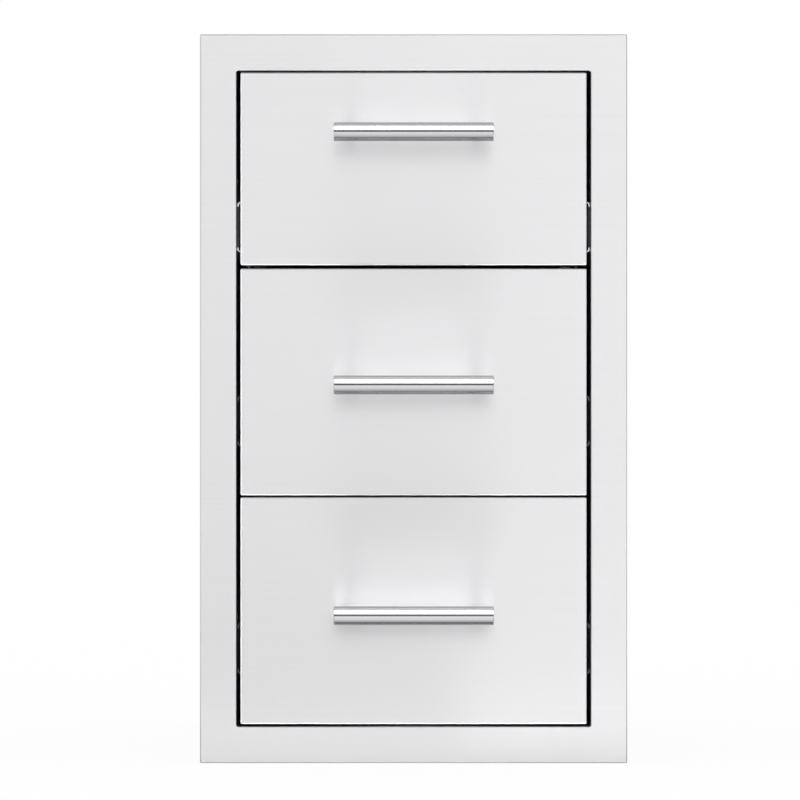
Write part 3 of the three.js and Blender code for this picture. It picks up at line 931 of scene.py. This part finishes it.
UNDER_SOFTBOX = ((8, 0.9), (0, -0.85, -2.9), (0, 0, 0), 6)

# Cards round each bar: degrees up from straight ahead, degrees that each takes in, and level there
BAR_CARDS = ((-18, 20, 1.25), (-41, 26, 1.05), (-68, 28, 0.72), (71, 20, 0.75), (98, 34, 0.36))
CARD_DISTANCE = 0.13
CARD_WIDTH = 0.5

# Light that each bar throws back on its front: height and level of the lamp
BAR_GLOW = (0.008, 0.38)

# Level of the studio for whatever isn't a reflection
PLAIN_LEVEL = 1.0

# How far the floor shines by itself where the camera sees it
FLOOR_SEEN = 0.93

# Level of the floor where metal sees it, a painted shadow that dims it close to the unit: distance from the
# unit, and level
FLOOR_BY_DISTANCE = (
    (0, 0.4),
    (0.1, 0.43),
    (0.35, 0.64),
    (0.6, 0.82),
    (1, 0.95),
    (1.6, 1.0),
)


def ramp_node(tree, stops, low, high, value):
    """Levels along a line, as a colour ramp whose output is then scaled back up."""
    ramp = tree.nodes.new("ShaderNodeValToRGB")
    elements = ramp.color_ramp.elements
    while len(elements) > 1:
        elements.remove(elements[-1])
    for i, (place, level) in enumerate(stops):
        position = (place - low) / (high - low)
        element = elements[0] if i == 0 else elements.new(position)
        element.position = position
        shade = level / BRIGHTEST
        element.color = (shade, shade, shade, 1)
    tree.links.new(mapped(tree, value, low, high), ramp.inputs["Fac"])
    return math_node(tree, "MULTIPLY", ramp.outputs["Color"], BRIGHTEST)


def seen_rays(tree, *kinds):
    """1 for rays of the named kinds, 0 for the rest."""
    path = tree.nodes.new("ShaderNodeLightPath")
    total = path.outputs[kinds[0]]
    for kind in kinds[1:]:
        total = math_node(tree, "MAXIMUM", total, path.outputs[kind])
    return total


def studio_world():
    world = bpy.data.worlds.new("studio")
    world.use_nodes = True
    tree = world.node_tree
    tree.nodes.clear()
    output = tree.nodes.new("ShaderNodeOutputWorld")
    axes = axes_of(tree, "Generated")
    ahead = math_node(tree, "MULTIPLY", axes["Y"], -1)
    height = math_node(tree, "ARCTAN2", axes["Z"], ahead)
    by_height = ramp_node(tree, STUDIO_BY_HEIGHT, -180, 180, math_node(tree, "DEGREES", height))
    turn = math_node(tree, "ARCTAN2", axes["X"], ahead)
    by_turn = ramp_node(tree, STUDIO_ROUND, -180, 180, math_node(tree, "DEGREES", turn))
    steep = eased(tree, 0.6, 0.95, math_node(tree, "ABSOLUTE", axes["Z"]))
    around = blended(tree, by_turn, 1, steep)
    front = math_node(tree, "MULTIPLY", by_height, around)
    left, right = SIDE_LEVELS
    sides = ((-1, left), (0, (left + right) / 2), (1, right))
    side = ramp_node(tree, sides, -1, 1, axes["X"])
    edge = eased(tree, 0.8, 0.98, math_node(tree, "ABSOLUTE", axes["X"]))
    level = blended(tree, front, side, edge)
    seen = blended(tree, level, 1, seen_rays(tree, "Is Camera Ray"))
    studio = tree.nodes.new("ShaderNodeBackground")
    tree.links.new(seen, studio.inputs["Strength"])
    plain = tree.nodes.new("ShaderNodeBackground")
    plain.inputs["Strength"].default_value = PLAIN_LEVEL
    for light in (studio, plain):
        light.inputs["Color"].default_value = (1, 1, 1, 1)
    mix = tree.nodes.new("ShaderNodeMixShader")
    shown = seen_rays(tree, "Is Camera Ray", "Is Glossy Ray", "Is Transmission Ray")
    tree.links.new(shown, mix.inputs["Fac"])
    tree.links.new(plain.outputs["Background"], mix.inputs[1])
    tree.links.new(studio.outputs["Background"], mix.inputs[2])
    tree.links.new(mix.outputs["Shader"], output.inputs["Surface"])
    return world


def floor_material(colour, low, high):
    """Pale floor that reads as white and takes the unit's shadow; in the metal it shows a painted shadow,
    dimmer close to the unit.
    """
    material = bpy.data.materials.new("studio_floor")
    material.use_nodes = True
    tree = material.node_tree
    tree.nodes.clear()
    output = tree.nodes.new("ShaderNodeOutputMaterial")
    paint = tree.nodes.new("ShaderNodeBsdfDiffuse")
    paint.inputs["Color"].default_value = (*colour, 1)
    axes = axes_of(tree, "Position", "ShaderNodeNewGeometry")
    offsets = []
    for axis, near, far in (("X", low.x, high.x), ("Y", low.y, high.y)):
        offset = math_node(tree, "SUBTRACT", axes[axis], (near + far) / 2)
        past_edge = math_node(tree, "SUBTRACT", math_node(tree, "ABSOLUTE", offset), (far - near) / 2)
        offsets.append(math_node(tree, "POWER", math_node(tree, "MAXIMUM", past_edge, 0), 2))
    distance = math_node(tree, "SQRT", math_node(tree, "ADD", *offsets))
    # Painted shadow: where metal sees the floor, it is dimmer close to the unit
    metal_sees = ramp_node(tree, FLOOR_BY_DISTANCE, 0, FLOOR_BY_DISTANCE[-1][0], distance)
    camera_ray = seen_rays(tree, "Is Camera Ray")
    shown = math_node(tree, "MULTIPLY", camera_ray, FLOOR_SEEN)
    mirrored = seen_rays(tree, "Is Glossy Ray", "Is Transmission Ray")
    white = tree.nodes.new("ShaderNodeEmission")
    tree.links.new(blended(tree, metal_sees, 1, camera_ray), white.inputs["Strength"])
    mix = tree.nodes.new("ShaderNodeMixShader")
    tree.links.new(math_node(tree, "MAXIMUM", shown, mirrored), mix.inputs["Fac"])
    tree.links.new(paint.outputs["BSDF"], mix.inputs[1])
    tree.links.new(white.outputs["Emission"], mix.inputs[2])
    tree.links.new(mix.outputs["Shader"], output.inputs["Surface"])
    return material


def solid_pieces():
    return [piece for piece in bpy.context.scene.objects if piece.type == "MESH"]


def pieces_with(slot, start=""):
    """Pieces with the finish of a slot, and with names that start in one way or one of several."""
    look = finish(slot)
    return [
        piece
        for piece in solid_pieces()
        if piece.name.startswith(start) and any(place.material == look for place in piece.material_slots)
    ]


def gathered(name, pieces):
    """Collection that links a lamp to pieces."""
    group = bpy.data.collections.new(name)
    for piece in pieces:
        group.objects.link(piece)
    return group


def softbox(name, settings, pieces, blockers=()):
    """Rectangular lamp that shines on some of the pieces, with everything or the blockers in its way."""
    size, centre, target, level = settings
    lamp = bpy.data.lights.new(name, "AREA")
    lamp.shape = "RECTANGLE"
    lamp.size, lamp.size_y = size
    lamp.energy = LAMP_POWER * size[0] * size[1] * level
    box = bpy.data.objects.new(name, lamp)
    bpy.context.scene.collection.objects.link(box)
    box.location = centre
    box.rotation_euler = (Vector(target) - Vector(centre)).to_track_quat("-Z", "Y").to_euler()
    box.visible_camera = False
    box.light_linking.receiver_collection = gathered(name + "_lights", pieces)
    if blockers:
        box.light_linking.blocker_collection = gathered(name + "_blockers", blockers)


def floor_level(distance):
    """Level of the floor at a distance from the unit."""
    for (near, low), (far, high) in zip(FLOOR_BY_DISTANCE, FLOOR_BY_DISTANCE[1:]):
        if distance < far:
            return low + (high - low) * (distance - near) / (far - near)
    return FLOOR_BY_DISTANCE[-1][1]


def bar_lamps():
    """Cards that even out what the bars see of the floor, and the glow that each throws on its front."""
    floor_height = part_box("front_frame")[0].z
    height, glow = BAR_GLOW
    for drawer in DRAWERS:
        low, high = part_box(f"{drawer}_handle_bar")
        middle = (low + high) / 2
        bar = [bpy.data.objects[f"{drawer}_bar"]]
        for number, (up, span, level) in enumerate(BAR_CARDS, 1):
            angle = math.radians(up)
            if up < 0:
                level -= floor_level((middle.z - floor_height) / math.tan(-angle))
            if level <= 0:
                continue
            centre = middle + CARD_DISTANCE * Vector((0, -math.cos(angle), math.sin(angle)))
            size = (CARD_WIDTH, 2 * CARD_DISTANCE * math.tan(math.radians(span / 2)))
            softbox(f"{drawer}_bar_card_{number}", (size, centre, middle, level), bar)
        centre = Vector((middle.x, high.y, high.z - height / 2))
        front = pieces_with("brushed_face_steel", drawer)
        settings = ((high.x - low.x, height), centre, centre + Vector((0, 1, 0)), glow)
        softbox(f"{drawer}_bar_glow", settings, front)


class DRAWERUNIT_OT_stage(bpy.types.Operator):
    """Sets the camera, the studio light and the floor"""

    bl_idname = "drawer_unit.stage"
    bl_label = "Stage"

    def execute(self, context):
        stage = context.scene.drawer_unit_stage
        scene = context.scene
        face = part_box("front_frame")[0]
        camera = bpy.data.objects.new("studio_camera", bpy.data.cameras.new("studio_camera"))
        scene.collection.objects.link(camera)
        camera.data.sensor_width = 36
        camera.data.lens = camera.data.sensor_width * stage.camera_distance / stage.picture_width
        camera.data.clip_start = 0.05
        camera.data.clip_end = 50
        camera.location = (stage.camera_across, face.y - stage.camera_distance, stage.camera_height)
        camera.rotation_euler = (math.radians(90), 0, 0)
        scene.camera = camera
        scene.world = studio_world()
        scene.view_settings.view_transform = "Standard"
        half = stage.floor_size / 2
        level = face.z - FLOOR_GAP
        corners = [(-half, -half, level), (half, -half, level), (half, half, level), (-half, half, level)]
        mesh = bpy.data.meshes.new("studio_floor")
        mesh.from_pydata(corners, [], [(0, 1, 2, 3)])
        mesh.materials.append(floor_material(stage.floor_colour, *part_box("front_frame")))
        floor = bpy.data.objects.new("studio_floor", mesh)
        scene.collection.objects.link(floor)
        bars = [bpy.data.objects[f"{drawer}_bar"] for drawer in DRAWERS]
        sheets = pieces_with("brushed_face_steel")
        fronts = pieces_with("brushed_face_steel", DRAWERS)
        surround = [piece for piece in sheets if piece not in fronts]
        slides = pieces_with("zinc_plated_steel", DRAWERS[0])
        solid = solid_pieces()
        above_floor = [piece for piece in solid if piece != floor]
        softbox("bar_softbox", BAR_SOFTBOX, bars)
        softbox("sheet_softbox", SHEET_SOFTBOX, sheets, solid)
        softbox("sheet_floor_softbox", SHEET_FLOOR_SOFTBOX, sheets, solid)
        softbox("skirting_softbox", SKIRTING_SOFTBOX, sheets, solid)
        softbox("sheet_top_softbox", SHEET_TOP_SOFTBOX, sheets, sheets)
        softbox("under_softbox", UNDER_SOFTBOX, fronts, above_floor)
        softbox("front_edge_softbox", FRONT_EDGE_SOFTBOX, fronts)
        softbox("frame_top_softbox", FRAME_TOP_SOFTBOX, surround)
        softbox("frame_low_softbox", FRAME_LOW_SOFTBOX, surround, above_floor)
        softbox("slide_softbox", SLIDE_SOFTBOX, slides, slides)
        bar_lamps()
        return {"FINISHED"}


class DRAWERUNIT_PT_panel(bpy.types.Panel):
    """Lists the pieces of the drawer unit and their sizes"""

    bl_label = "Drawer unit"
    bl_idname = "DRAWERUNIT_PT_panel"
    bl_space_type = "VIEW_3D"
    bl_region_type = "UI"
    bl_category = "Drawer unit"

    def draw(self, context):
        column = self.layout.column()
        for operator in OPERATORS:
            column.operator(operator.bl_idname)
        for name, settings in SETTINGS:
            group = getattr(context.scene, name)
            box = self.layout.box()
            for field in settings.__annotations__:
                box.prop(group, field)


SETTINGS = (
    ("drawer_unit_finishes", FinishSettings),
    ("drawer_unit_sheets", SheetSettings),
    ("drawer_unit_handles", HandleSettings),
    ("drawer_unit_stage", StageSettings),
)

OPERATORS = (
    DRAWERUNIT_OT_stage,
    DRAWERUNIT_OT_face_frame,
    DRAWERUNIT_OT_drawer_fronts,
    DRAWERUNIT_OT_handles,
    DRAWERUNIT_OT_inner_parts,
    DRAWERUNIT_OT_housing_fasteners,
    DRAWERUNIT_OT_drawer_fasteners,
)


def register():
    for name, settings in SETTINGS:
        bpy.utils.register_class(settings)
        setattr(bpy.types.Scene, name, PointerProperty(type=settings))
    for operator in OPERATORS:
        bpy.utils.register_class(operator)
    bpy.utils.register_class(DRAWERUNIT_PT_panel)


def unregister():
    bpy.utils.unregister_class(DRAWERUNIT_PT_panel)
    for operator in reversed(OPERATORS):
        bpy.utils.unregister_class(operator)
    for name, settings in reversed(SETTINGS):
        delattr(bpy.types.Scene, name)
        bpy.utils.unregister_class(settings)


def main():
    register()
    bpy.ops.drawer_unit.face_frame()
    bpy.ops.drawer_unit.drawer_fronts()
    bpy.ops.drawer_unit.handles()
    bpy.ops.drawer_unit.inner_parts()
    bpy.ops.drawer_unit.housing_fasteners()
    bpy.ops.drawer_unit.drawer_fasteners()
    bpy.ops.drawer_unit.stage()


if __name__ == "__main__":
    main()
